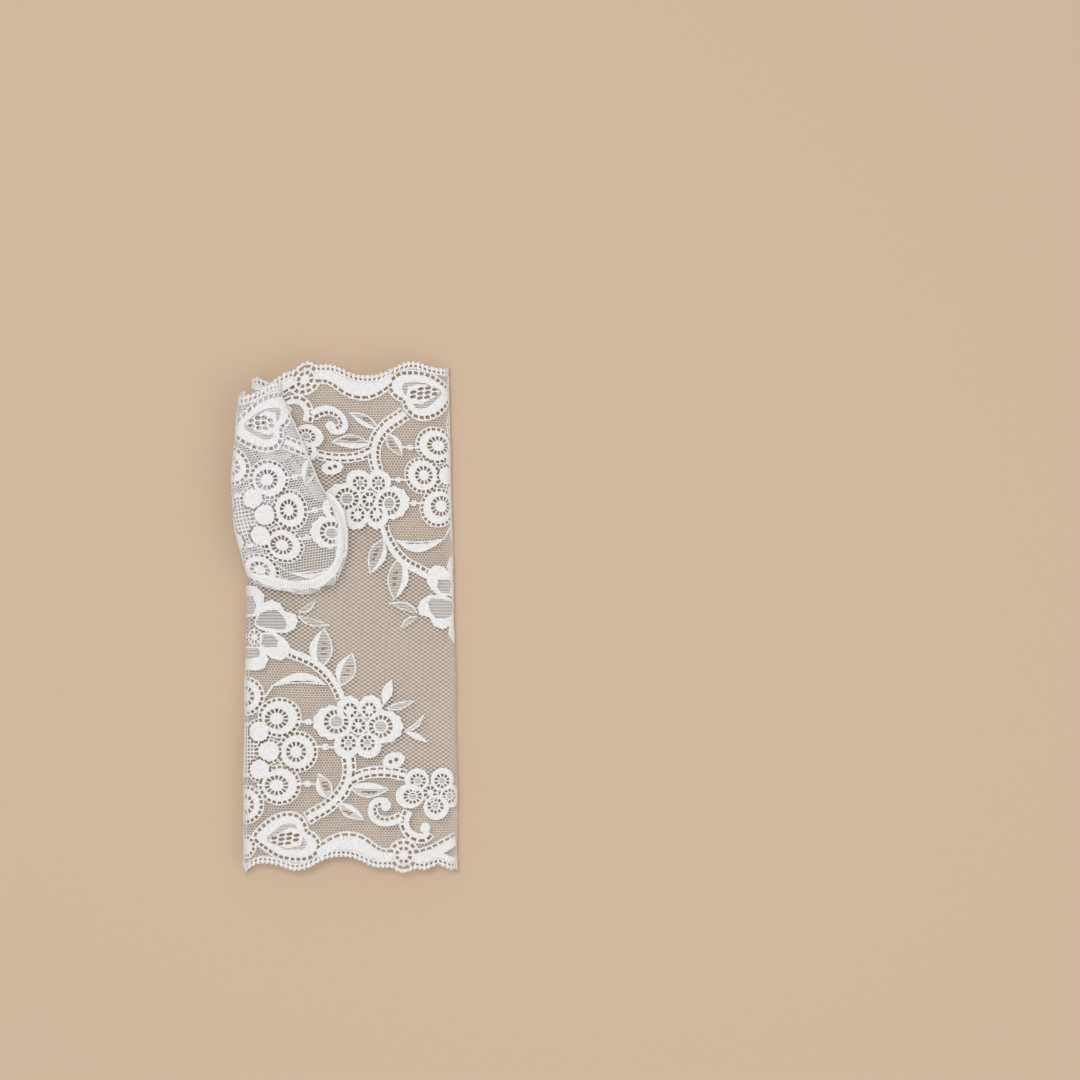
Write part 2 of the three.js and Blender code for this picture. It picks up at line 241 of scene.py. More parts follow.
class Design:
    """The lace's polygons: cloth, rings, pierced cloth, its holes, sheer fills, gaps and clear places.

    Pierced cloth is cut by holes, gaps are open places in sheer fills, and no net lies in clear places.
    """

    def __init__(self):
        self.solid, self.rings, self.pierced, self.holes = [], [], [], []
        self.sheer, self.gaps, self.clear = [], [], []

    def strip(self, path, width, closed=False, kind="solid"):
        """A ribbon along a path, in short triangles, so that it may cross itself."""
        half = np.broadcast_to(np.asarray(width, float), len(path))[:, None] / 2
        side = across(path, closed)
        left, right = path + side * half, path - side * half
        shapes = getattr(self, kind)
        for i in range(len(path) - (0 if closed else 1)):
            k = (i + 1) % len(path)
            shapes.append(np.array([left[i], right[i], right[k]]))
            shapes.append(np.array([left[i], right[k], left[k]]))
        if not closed:
            self.clear.append(np.vstack([left, right[::-1]]))

    def row(self, path, start, depth, pitch, closed=False, share=0.7):
        """Eyelets to the left of a path, from start to start + depth, with a thread outside them."""
        loop = np.vstack([path, path[:1]]) if closed else path
        side = across(path, closed)
        side = np.vstack([side, side[:1]]) if closed else side
        outside = start + depth + math.copysign(0.42, depth)
        middle = path + side[: len(path)] * (start + outside) / 2
        self.strip(middle, abs(outside - start) + 0.3, closed, "pierced")
        gaps = np.r_[0, np.cumsum(np.linalg.norm(np.diff(loop, axis=0), axis=1))]
        count = max(1, round(gaps[-1] / pitch))
        count += closed * (count % 2)
        pitch = gaps[-1] / count
        for i in range(count):
            at = (i + 0.5 + np.array([-share, share]) / 2) * pitch
            ends = np.stack([np.interp(at, gaps, loop[:, k]) for k in (0, 1)], -1)
            out = np.stack([np.interp(at, gaps, side[:, k]) for k in (0, 1)], -1)
            near, far = ends + out * start, ends + out * (start + depth)
            self.holes.append(np.vstack([near, far[::-1]]))

    def spokes(self, x, y, wide, high, turn, near, far, count, share=0.68):
        """A ring of eyelets and the bars between them. near and far are shares of wide and high."""
        count += count % 2
        c, s = math.cos(math.radians(turn)), math.sin(math.radians(turn))
        for i in range(count):
            t = (i + 0.5 + np.array([-share, share]) / 2) * 2 * math.pi / count
            u = np.r_[near * wide * np.cos(t), far * wide * np.cos(t[::-1])]
            v = np.r_[near * high * np.sin(t), far * high * np.sin(t[::-1])]
            self.holes.append(np.stack([x + u * c - v * s, y + u * s + v * c], -1))

    def ring_row(self, x, y, wide, high=None, turn=0.0, gap=2.0, pitch=2.3):
        """Eyelets round an oval, with a thread outside them."""
        high = wide if high is None else high
        outer = oval(x, y, wide + gap, high + gap, turn)
        self.pierced.append(outer)
        self.clear.append(outer)
        count = round(math.pi * (wide + high + gap) / pitch)
        near, far = (1 - share * gap / (wide + gap) for share in (0.88, 0.24))
        self.spokes(x, y, wide + gap, high + gap, turn, near, far, count)

    def petal(self, outer, inner, turn=0.0, row=False, spokes=10, heart=0.5, knobs=0, sheer=False):
        """A petal: a band of cloth between two ovals, and in it a ring of eyelets round a small disc."""
        x, y, wide, high = outer
        if row:
            self.ring_row(x, y, wide, high, turn)
        edge = oval(x, y, wide, high, turn, knobs=knobs)
        x, y, wide, high = inner
        self.rings.append((edge, oval(x, y, wide, high, turn)))
        self.pierced.append(oval(x, y, wide + 0.05, high + 0.05, turn))
        self.clear.append(edge)
        self.spokes(x, y, wide, high, turn, heart + 0.06, 0.97, spokes)
        if sheer:
            disc = oval(x, y, wide * heart * 0.8, high * heart * 0.8, turn)
            self.holes.append(disc)
            self.sheer.append(disc)

    def leaf(self, base, tip, thick, thin, core=0.4, sheer=True, slots=3):
        """A leaf: a side of cloth, to its left if thick is positive, and a sheer side in a fine outline."""
        base, tip = np.array(base, float), np.array(tip, float)
        run = tip - base
        t = np.linspace(0, 1, 13)[:, None]
        left = np.array([-run[1], run[0]]) / np.linalg.norm(run)
        middle = base + run * t
        swell = np.sin(math.pi * t**0.9)
        outside = middle + left * thick * swell
        inside = middle + left * thick * core * swell
        far = middle - left * thin * swell
        self.solid.append(np.vstack([outside, inside[-2:0:-1]]))
        self.clear.append(np.vstack([outside, far[-2:0:-1]]))
        if sheer:
            self.sheer.append(np.vstack([inside, far[-2:0:-1]]))
            self.strip(far, 0.55)
            for i in range(slots):
                at = base + run * (0.36 + 0.13 * i) + left * (thick * core - thin) * 0.45
                self.gaps.append(oval(at[0], at[1], 1.5, 0.5, 4, 8))
        else:
            self.solid.append(np.vstack([inside, far[-2:0:-1]]))


def scallop_edge(along):
    """How deep the outermost thread lies, from the edge's middle line."""
    table = np.array(
        [
            (0, -3.1), (3, -1.2), (6.5, 0.2), (10, 0.1), (15, -0.9), (20.3, -2.7), (25, -2.3), (29.8, -0.1),
            (33.4, 1.7), (37.5, 2.8), (43, 3.0), (47, 2.2), (50.5, 0.6), (54.6, -1.2), (58.5, -1.6),
            (62, -1.5), (64.5, -3.0), (67, -3.7), (69.5, -2.9), (72, -2.0), (75.8, -2.4), (79, -1.2),
            (81.5, -0.4),
        ]
    )
    share = np.abs((np.asarray(along, float) + HALF_REPEAT) % REPEAT - HALF_REPEAT)
    return cubic(share, table[:, 0], table[:, 1])


def large_flower(d):
    """Half of the large flower on the axis: a square mesh, three lobes and five ringed petals."""
    mesh_pitch = 1.55
    mesh_hole = np.array([(-0.55, -0.52), (0.55, -0.52), (0.55, 0.52), (-0.55, 0.52)])
    d.pierced.append(oval(0, LARGE_FLOWER_DEEP, 6.2, 11.6))
    d.clear.append(oval(0, LARGE_FLOWER_DEEP, 6.2, 11.6))
    for i in range(4):
        for j in range(-6, 7):
            x, y = i * mesh_pitch, LARGE_FLOWER_DEEP + j * mesh_pitch
            if math.hypot(x / 5.4, (y - LARGE_FLOWER_DEEP) / 10.8) < 1:
                d.holes.append(mesh_hole + [x, y])
    for x, y, wide, high in ((10.4, 46.6, 4.3, 3.9), (6.1, 54.9, 4.0, 3.9), (6.4, 39.0, 4.0, 3.9)):
        d.ring_row(x, y, wide, high, gap=1.6, pitch=2.0)
        d.solid.append(oval(x, y, wide, high))
    d.petal((0, 69.8, 6.6, 6.4), (0, 69.8, 4.4, 4.3), row=True)
    d.petal((0, 24.2, 6.4, 6.4), (0, 24.2, 4.3, 4.3), row=True)
    d.petal((14.8, 60.8, 7.3, 6.6), (13.6, 60.3, 5.2, 4.5), row=True, spokes=14, knobs=11)
    d.petal((14.8, 32.5, 7.2, 6.6), (13.6, 32.3, 5.2, 4.4), row=True, spokes=14, knobs=11)
    d.petal((22.3, 46.4, 6.8, 6.8), (21.8, 46.4, 4.4, 4.5), row=True, spokes=12, knobs=11)


def middle_flower(d):
    """The flower in the middle of the half repeat: four round petals and a heart-shaped one."""
    d.petal((43.2, 49.1, 5.5, 5.3), (43.7, 50.1, 3.3, 3.4), spokes=8, sheer=True)
    d.petal((52.2, 49.1, 5.5, 5.3), (51.8, 50.1, 3.3, 3.4), spokes=8, sheer=True)
    d.petal((43.8, 65.0, 5.0, 5.0), (44.5, 63.9, 3.1, 3.2), spokes=8, knobs=9)
    d.petal((53.0, 65.2, 5.0, 5.0), (52.6, 64.1, 3.1, 3.2), spokes=8, knobs=9)
    d.petal((37.3, 58.8, 8.2, 7.1), (38.7, 59.1, 5.4, 5.2), spokes=14, heart=0.55, knobs=11, sheer=True)
    d.petal((59.1, 57.0, 7.5, 6.8), (57.4, 57.1, 5.2, 4.9), spokes=14, heart=0.55, knobs=11, sheer=True)
    d.rings.append((oval(48.0, 57.4, 3.9), oval(48.0, 57.4, 3.2)))
    d.clear.append(oval(48.0, 57.4, 3.9))
    d.pierced.append(oval(48.0, 57.4, 3.3))
    d.spokes(48.0, 57.4, 3.3, 3.3, 0, 0.46, 0.96, 8)


def small_flower(d):
    """The small flower near the edge, five petals of thinner cloth."""
    d.petal((72.6, 34.6, 5.0, 4.8), (73.0, 34.2, 3.4, 3.2), spokes=10, sheer=True)
    d.petal((83.4, 34.8, 5.0, 4.8), (83.2, 34.2, 3.4, 3.2), spokes=10, sheer=True)
    d.petal((87.2, 27.8, 5.0, 4.8), (86.4, 27.9, 3.4, 3.2), spokes=10, sheer=True)
    d.petal((80.7, 23.0, 5.4, 5.2), (80.4, 23.7, 3.6, 3.4), spokes=10, sheer=True)
    d.petal((69.6, 27.8, 6.0, 5.2), (70.8, 27.8, 4.0, 3.4), spokes=12, sheer=True)
    d.rings.append((oval(78.2, 29.2, 3.6), oval(78.2, 29.2, 3.0)))
    d.clear.append(oval(78.2, 29.2, 3.6))
    d.pierced.append(oval(78.2, 29.2, 3.1))
    d.spokes(78.2, 29.2, 3.1, 3.1, 0, 0.45, 0.96, 8)


def side_flower(d):
    """Half of the flower where both edges' patterns meet: sheer petals in thick squared bands."""
    for outer, inner in (
        (
            [(-0.5, 103), (5, 103.5), (8, 108), (8.4, 112.5), (5, 116), (-0.5, 116.5)],
            [(-0.5, 104.2), (4.2, 104.6), (5.2, 108), (3.6, 111.8), (-0.5, 112.2)],
        ),
        (
            [
                (4, 100), (7, 108.6), (11, 110.2), (15, 108.9), (17, 105.4), (21.6, 104.2), (22.6, 101.4),
                (21.4, 98.4), (17.8, 96.4), (12, 96.4), (6, 98),
            ],
            [
                (4.6, 100.2), (6.5, 104.5), (10.5, 106), (14.3, 105.6), (17, 102.4), (18.1, 99.6),
                (16.9, 97.6), (11, 98.2), (7, 99),
            ],
        ),
        (
            [
                (6.5, 96.3), (12.5, 97), (16.8, 94), (19.2, 90.8), (18.6, 86.6), (15.4, 84.8), (11.6, 85.4),
                (9, 87.5), (6.5, 90.5),
            ],
            [(7.2, 95.7), (12, 95.6), (14.3, 93.2), (13.8, 90.4), (9.4, 90.2), (7.2, 91.4)],
        ),
        (
            [(-0.5, 90.8), (7, 90.6), (8.8, 88.2), (10.2, 85.2), (8.6, 81.6), (5, 80.5), (-0.5, 80.7)],
            [(-0.5, 90), (5.8, 90), (6.6, 88), (6, 86.2), (-0.5, 85.4)],
        ),
    ):
        d.rings.append((np.array(outer), np.array(inner)))
        d.sheer.append(np.array(inner))
        d.clear.append(np.array(outer))
    d.rings.append((oval(4.2, 94.6, 3.5), oval(4.2, 94.6, 3.0)))
    d.pierced.append(oval(4.2, 94.6, 3.1))
    d.spokes(4.2, 94.6, 3.1, 3.1, 0, 0.45, 0.96, 8)
    d.leaf((22.6, 103.6), (35.7, 99.8), 0.5, 2.4, slots=0)
    d.leaf((22.8, 105.4), (29.8, 109.8), 0.4, 2.0, slots=0)


def stem(d, line, width, left=0.0, right=0.0, pitch=2.6):
    """A stem with rows of eyelets beside it. left and right are how deep its rows are."""
    path = smooth(line)
    d.strip(path, width)
    if left:
        d.row(path, width / 2 + 0.1, left, pitch)
    if right:
        d.row(path, -width / 2 - 0.1, -right, pitch)


def stems_and_leaves(d):
    """Stems that join the flowers, the leaves on them, and the curls, bud and knots between them."""
    upper = [(17.9, 89.5), (23.2, 87.3), (29.2, 84.6), (33.7, 81.2), (37.5, 76.7), (40.2, 72.1), (41.3, 69.2)]
    lower = [
        (43.9, 44.2), (44.3, 38.2), (43.6, 34.4), (42, 30.6), (39, 26.8), (34.5, 23), (29.2, 20),
        (26.4, 18.2),
    ]
    stem(d, upper, 2.2, 0.0, 1.3)
    stem(d, lower, 2.2, 1.1, 1.3)
    stem(d, [(44.3, 34.4), (49.6, 37), (56.4, 38.1), (62.4, 37.8), (68.0, 36.5)], 1.6, 0.9, 1.1, 3.2)
    stem(d, [(8.6, 69.4), (10.4, 71.8), (11.8, 74.2)], 0.6)
    stem(d, [(56.6, 62.0), (57.6, 65.0), (58.8, 67.0)], 0.7)
    d.leaf((32.2, 81.8), (33.4, 98.4), 5.4, 4.2, 0.42)
    d.leaf((40.4, 74.2), (45.4, 88.0), 4.2, 3.9, 0.42)
    d.leaf((34.6, 74.6), (11.6, 74.2), -5.3, 1.1, 0.36)
    d.leaf((36, 26.5), (31, 37.2), 3.4, 3.1, 0.35)
    d.leaf((44.4, 31.4), (60.8, 30.8), 2.4, 3.6, -0.05)
    d.leaf((39.4, 25.0), (50.4, 18.1), 2.2, 2.8, 0.1, slots=2)
    d.leaf((59.8, 64.8), (71.4, 67.8), 1.1, 1.9, 0.5, slots=0)
    d.leaf((67.6, 55.6), (75.3, 61.9), -1.0, 2.2, 0.4, slots=0)
    d.leaf((67.6, 55.0), (77.2, 50.4), 1.3, 1.0, 0.5, sheer=False)
    d.leaf((58.6, 66.4), (61.9, 77.0), 2.3, 2.1, sheer=False)
    edge = oval(62.8, 42.8, 4.7, 3.3, 18, knobs=9)
    d.rings.append((edge, oval(62.6, 42.6, 2.6, 1.5, 25)))
    d.pierced.append(oval(62.6, 42.6, 2.7, 1.6, 25))
    d.holes += [oval(61.5, 42.3, 0.95, 1.0, 25, 6), oval(63.9, 43.1, 0.95, 1.0, 25, 6)]
    d.clear.append(edge)
    long_curl = [
        (66.5, 18.4), (62.4, 16.6), (58.4, 16.2), (54.9, 17.8), (53, 21.2), (54.1, 25), (57.4, 26.3),
        (60.4, 25.6),
    ]
    short_curl = [(69.6, 21.2), (68.1, 17), (69.2, 13.4), (72.3, 11.2), (75.6, 11), (77.6, 12.8)]
    for line, x, y in ((long_curl, 59.5, 23.8), (short_curl, 76, 14.4)):
        stem(d, line, 2.2, 0.0, 1.3)
        d.solid.append(oval(x, y, 2.2))
        d.clear.append(oval(x, y, 2.2))
    for x, y in ((26.9, 59), (34.2, 48.5), (26.6, 33)):
        d.strip(smooth([(x - 4.5, y + 0.2), (x, y), (x + 4.5, y - 0.2)]), 0.8)
        d.rings.append((oval(x, y, 1.5, 1.3), oval(x, y, 0.7, 0.6, count=8)))


def heart(d):
    """The heart near the edge: two thick lobes round coarse eyelets and a sheer fill, in a row of eyelets."""
    outline = smooth(
        [
            (5, 10.3), (8.8, 14.9), (15.5, 18.9), (21.6, 18.9), (24.7, 15.9), (25.3, 12.7), (29.2, 10.2),
            (30.7, 6.5), (27.7, 2.9), (21.6, 2.1), (14.7, 3.4), (8.8, 7.2),
        ],
        1.6,
        closed=True,
    )
    inner = smooth(
        [
            (9.4, 9.8), (13, 13.4), (18, 16.3), (21.8, 15.6), (22.6, 12.4), (26, 9.2), (26.2, 6.6), (21, 5.2),
            (14.6, 6.4),
        ],
        1.6,
        closed=True,
    )
    d.row(outline, 0.1, 1.4, 2.4, closed=True)
    d.clear.append(outline + across(outline, True) * 1.9)
    d.rings.append((outline, inner))
    d.sheer.append(inner)
    mesh = np.array(
        [(10.2, 9.2), (13.6, 11.8), (19, 14.6), (23, 14.0), (24.6, 10.6), (24, 7.2), (19, 6.0), (13.6, 7.0)]
    )
    d.pierced.append(mesh)
    d.gaps.append(mesh)
    for i, length in enumerate((2, 3, 3, 2)):
        for k in range(length):
            x = 12.7 + 3.1 * i + (k - length / 2) * 0.3
            y = 9.2 + 0.4 * i + (k - (length - 1) / 2) * 1.9
            d.holes.append(oval(x, y, 1.45, 0.76, 14, 8))


RIBBONS = (
    [
        (31, 3.4), (34, 5.4), (38.2, 8), (42, 9.1), (46, 8.9), (49.6, 7.4), (52.4, 5.2), (55.4, 3.2),
        (58.4, 2.2), (62.4, 2.2),
    ],
    [(71.6, 1.6), (74.8, 2.2), (78, 3.2), (81.5, 4.8), (85.5, 6.9), (90.5, 9.2)],
)


def ribbons(d):
    """The ribbon along the edge, in two lengths, with its knot: a ringed disc between them."""
    for points in RIBBONS:
        line = smooth(points)
        d.strip(line, 3.8)
        d.row(line, 2.05, 1.15, 2.9, share=0.74)
    d.solid.append(oval(67, 3.1, 2.0))
    d.pierced.append(oval(67, 3.1, 6.8))
    d.clear.append(oval(67, 3.1, 6.8))
    d.spokes(67, 3.1, 4.1, 4.1, 0, 0.52, 0.9, 8)
    d.spokes(67, 3.1, 6.8, 6.8, 0, 0.68, 0.9, 12)
    d.pierced.append(oval(0, 6.6, 5.2))
    d.clear.append(oval(0, 6.6, 5.2))
    d.solid.append(oval(0, 6.6, 3.1))
    d.spokes(0, 6.6, 5.2, 5.2, 0, 0.63, 0.88, 12)


def edging(d):
    """The edge itself: a toothed thread, a row of square holes and a row of dots, up to the ribbon."""
    steps = 84
    along = np.linspace(0, HALF_REPEAT, steps + 1)
    edge = np.stack([along, scallop_edge(along)], -1)
    ribbon = np.array(RIBBONS[0] + RIBBONS[1])
    reach = np.interp(along, ribbon[:, 0], ribbon[:, 1])
    inner = np.where(along > RIBBONS[0][0][0], np.maximum(2.4, reach - edge[:, 1]), 2.4)
    top = edge + np.stack([np.zeros(steps + 1), inner], -1)
    for i in range(steps):
        d.pierced.append(np.array([edge[i], edge[i + 1], top[i + 1], top[i]]))
    d.clear.append(np.vstack([edge, top[::-1]]))
    for i in range(0, steps, 2):
        a, b = edge[i] + [0.42, 0.55], edge[i + 2] + [-0.42, 0.55]
        d.holes.append(np.array([a, b, b + [0, 1.1], a + [0, 1.1]]))
        d.solid.append(oval(edge[i][0], edge[i][1] - 0.2, 0.55, 0.6, count=8))
        for k in (0.2, 0.7):
            x, y = edge[i] * (1 - k) + edge[i + 2] * k
            d.holes.append(oval(x + 0.3, y + 2.35, 0.3, 0.26, 0, 4))


lace, border = Design(), Design()
for draw in (large_flower, middle_flower, small_flower, side_flower, stems_and_leaves, heart, ribbons):
    draw(lace)
edging(border)

# Inside this line, from the large flower's half to the small flower, the background is the fine net.
FINE_ZONE = np.array(
    [
        (-1, 1.5), (-1, 88), (9, 86), (18, 89), (26, 86), (31, 83), (35, 79), (38, 74), (40, 68), (46, 62),
        (54, 54), (58, 46), (62, 42), (67, 37), (74, 34), (89, 33), (89, 1.5),
    ]
)


# White nylon yarn: soft, and dull with a slight sheen. Each kind of thread has its own relief and roughness,
# and two colours, of its darker and of its lighter threads.
def linear(code):
    """A colour given as sRGB hex, in the linear values that Blender's sockets take."""
    parts = [int(code[i : i + 2], 16) / 255 for i in (1, 3, 5)]
    return tuple(p / 12.92 if p <= 0.04045 else ((p + 0.055) / 1.055) ** 2.4 for p in parts) + (1.0,)


def add_node(tree, kind, settings=None, **links):
    """Adds a shader node, sets its properties, and fills its inputs with values or other nodes' outputs."""
    made = tree.nodes.new(kind)
    for key, value in (settings or {}).items():
        setattr(made, key, value)
    for key, value in links.items():
        numbered = key.startswith("in") and key[2:].isdigit()
        socket = made.inputs[int(key[2:]) if numbered else key.replace("_", " ")]
        if isinstance(value, bpy.types.NodeSocket):
            tree.links.new(value, socket)
        else:
            socket.default_value = value
    return made


def thread_material(name, colour, roughness, pitch, relief):
    """White synthetic thread: a soft sheen, uneven fibres and a fine rib from the machine's stitches."""
    material = bpy.data.materials.new(name)
    material.use_nodes = True
    tree = material.node_tree
    shader = tree.nodes["Principled BSDF"]
    uv = add_node(tree, "ShaderNodeUVMap", {"uv_map": "lace"})
    noise = add_node(tree, "ShaderNodeTexNoise", Vector=uv.outputs["UV"], Scale=1 / (pitch * 2.5), Detail=3.0)
    wave = add_node(
        tree,
        "ShaderNodeTexWave",
        {"bands_direction": "X"},
        Vector=uv.outputs["UV"],
        Scale=1 / (pitch * 6.28) * 2,
        Distortion=1.5,
        Detail=1.0,
    )
    both = {"in0": wave.outputs["Fac"], "in1": 0.6, "in2": noise.outputs["Fac"]}
    mixed = add_node(tree, "ShaderNodeMath", {"operation": "MULTIPLY_ADD"}, **both)
    tone = add_node(tree, "ShaderNodeMapRange", in0=noise.outputs["Fac"], in1=0.3, in2=0.7, in3=0.0, in4=1.0)
    colours = add_node(tree, "ShaderNodeMix", {"data_type": "RGBA"})
    colours.inputs[6].default_value = linear(colour[0])
    colours.inputs[7].default_value = linear(colour[1])
    tree.links.new(tone.outputs[0], colours.inputs[0])
    tree.links.new(colours.outputs[2], shader.inputs["Base Color"])
    bump = add_node(tree, "ShaderNodeBump", Height=mixed.outputs[0], Strength=relief, Distance=0.0001)
    tree.links.new(bump.outputs[0], shader.inputs["Normal"])
    shader.inputs["Roughness"].default_value = roughness
    shader.inputs["Sheen Weight"].default_value = 0.25
    shader.inputs["Sheen Roughness"].default_value = 0.5
    return material


# Cloth work is close rows of loops, which its relief shows. The nets' and the fills' single threads are
# smoother.
cloth_white = thread_material(
    "white_nylon_cloth_work", ("#E4E1DF", "#FAF9F7"), roughness=0.62, pitch=0.42, relief=0.9
)
net_white = thread_material("white_nylon_net", ("#F1EFEC", "#FAF8F6"), roughness=0.68, pitch=0.5, relief=0.3)
sheer_white = thread_material(
    "white_nylon_sheer", ("#F5F0EB", "#FDFAF6"), roughness=0.6, pitch=0.5, relief=0.2
)


# How lace is laid: cloth work is cut out of the flat drawing, with its holes, and goes on the tube or sleeve
# as a thin closed sheet. Nets lie between it, in an open and a fine mesh, and a sheer fill is level threads
# across a petal or leaf. All threads are drawn coarser than the real ones, so that they show.
CLOTH_WORK = 0.3
# The width and height of a mesh: half a diamond of the open net, and a whole cell of the fine one.
OPEN_NET = (1.26, 0.84)
FINE_NET = (1.26, 1.05)
KNOT_HALF, KNOT_RADIUS, KNOT_HEIGHT = 0.4, 0.36, 0.6
SHEER_PITCH, SHEER_RADIUS, SHEER_HEIGHT = 0.62, 0.21, 0.7
# What a polygon of the flat cloth work is. Each ring takes two numbers, for its outer and its inner edge.
OUTLINE, OPENING, SOLID, PIERCED, HOLES, FIRST_RING = 0, 1, 2, 3, 4, 10


def inside(points, polygon):
    """Which of the points lie inside the polygon."""
    low, high = polygon.min(0), polygon.max(0)
    found = np.zeros(len(points), bool)
    near = np.flatnonzero(np.all((points >= low) & (points <= high), axis=1))
    x, y = points[near].T
    odd = np.zeros(len(near), bool)
    for (ax, ay), (bx, by) in zip(polygon, np.roll(polygon, -1, 0)):
        if ay != by:
            crosses = (ay > y) != (by > y)
            odd ^= crosses & (x < (bx - ax) * (y - ay) / (by - ay) + ax)
    found[near] = odd
    return found


def inside_any(points, polygons):
    """Which of the points lie inside one of the polygons."""
    found = np.zeros(len(points), bool)
    order = np.argsort(points[:, 0])
    ranked = points[order, 0]
    for polygon in polygons:
        first, last = np.searchsorted(ranked, (polygon[:, 0].min(), polygon[:, 0].max()))
        near = order[first:last]
        found[near] |= inside(points[near], polygon)
    return found


class Panel:
    """The lace on one surface: its outline, its openings and the places where the design repeats."""

    def __init__(
        self, name, outline, openings, places, surface, flat, rests_on, net_turn=0.0, mirrored=False
    ):
        self.name, self.outline, self.openings, self.surface = name, outline, openings, surface
        self.flat, self.rests_on, self.net_turn, self.mirrored = flat, rests_on, net_turn, mirrored
        low, high = outline.min(0) - 1, outline.max(0) + 1
        kinds = ("solid", "pierced", "holes", "sheer", "gaps", "clear", "fine", "rings")
        self.shapes = {kind: [] for kind in kinds}
        for place, design in places:
            for kind, shapes in self.shapes.items():
                polygons = [FINE_ZONE] if kind == "fine" else getattr(design, kind)
                for polygon in polygons:
                    laid = tuple(place(part) for part in polygon) if kind == "rings" else place(polygon)
                    whole = laid[0] if kind == "rings" else laid
                    if np.all(whole.max(0) > low) and np.all(whole.min(0) < high):
                        shapes.append(laid)

    def kept(self, points):
        """Which of the points lie on the panel, outside its openings."""
        return inside(points, self.outline) & ~inside_any(points, self.openings)


def cloth(panel, grid):
    """The panel's cloth work, cut out of the flat lace as triangles."""
    verts, faces, kinds, sizes, edges = [], [], [], [], []

    def add(polygon, kind):
        x, y = polygon.T
        area = np.sum(x * np.roll(y, -1) - y * np.roll(x, -1)) / 2
        around = np.linalg.norm(polygon - np.roll(polygon, -1, 0), axis=1).sum()
        if abs(area) > 0.004 * around:
            faces.append(list(range(len(verts), len(verts) + len(polygon))))
            verts.extend(Vector(point) for point in (polygon if area > 0 else polygon[::-1]))
            kinds.append(kind)
            sizes.append(abs(area))

    add(panel.outline, OUTLINE)
    for opening in panel.openings:
        add(opening, OPENING)
    for kind, name in ((SOLID, "solid"), (PIERCED, "pierced"), (HOLES, "holes")):
        for polygon in panel.shapes[name]:
            add(polygon, kind)
    for i, (outer, inner) in enumerate(panel.shapes["rings"]):
        add(outer, FIRST_RING + 2 * i)
        add(inner, FIRST_RING + 2 * i + 1)
    low, high = panel.outline.min(0), panel.outline.max(0)
    for axis in (0, 1):
        for value in grid[axis]:
            ends = np.array([low, high])
            ends[:, axis] = value
            edges.append((len(verts), len(verts) + 1))
            verts.extend(Vector(point) for point in ends)
    points, _, triangles, _, _, sources = delaunay_2d_cdt(verts, edges, faces, 0, 1e-5)
    flat = np.array([tuple(point) for point in points])
    a, b, c = (flat[np.array(triangles)[:, i]] for i in range(3))
    areas = np.abs(np.cross(b - a, c - a)) / 2
    # A shape that crosses itself may spill over the sheet. One that covers more than its area is left out.
    shares = np.repeat(areas, [len(source) for source in sources])
    covered = np.zeros(len(faces))
    np.add.at(covered, np.concatenate(sources).astype(int), shares)
    sound = covered < np.array(sizes) * 1.02 + 0.02
    kept = []
    for triangle, source in zip(triangles, sources):
        found = {kinds[i] for i in source if sound[i]}
        if OUTLINE in found and OPENING not in found:
            banded = any(k >= FIRST_RING and k % 2 == 0 and k + 1 not in found for k in found)
            if banded or SOLID in found or (PIERCED in found and HOLES not in found):
                kept.append(triangle)
    kept = np.array(kept)
    a, b, c = (flat[kept[:, i]] for i in range(3))
    kept = kept[np.abs(np.cross(b - a, c - a)) > 1e-7]
    used, kept = np.unique(kept, return_inverse=True)
    flat = flat[used]
    # Stitched outlines are never quite even. The folds keep their place, where two pieces of lace meet.
    uneven = np.random.default_rng(5).uniform(-0.1, 0.1, flat.shape)
    beside = (flat[:, 0] > low[0] + 4) & (flat[:, 0] < high[0] - 4)
    return flat + uneven * beside[:, None], kept.reshape(-1, 3)


def open_edges(triangles):
    """The edges that belong to one triangle alone, each in its triangle's direction."""
    directed = np.concatenate([triangles[:, [0, 1]], triangles[:, [1, 2]], triangles[:, [2, 0]]])
    _, first, uses = np.unique(np.sort(directed, axis=1), axis=0, return_index=True, return_counts=True)
    return directed[first[uses == 1]]


def sheet_mesh(panel, flat, triangles):
    """A closed mesh of the cloth work: its upper side, its under side and its cut edges."""
    count = len(flat)
    rim = open_edges(triangles)
    height = np.full(count, CLOTH_WORK / 2)
    s, y = flat.T
    points = np.vstack([panel.surface(s, y, height), panel.surface(s, y, -height)])
    first = np.stack([rim[:, 0], rim[:, 0] + count, rim[:, 1] + count], -1)
    second = np.stack([rim[:, 0], rim[:, 1] + count, rim[:, 1]], -1)
    faces = np.concatenate([triangles, triangles[:, ::-1] + count, first, second])
    return points, faces[:, ::-1] if panel.mirrored else faces, np.vstack([flat, flat])


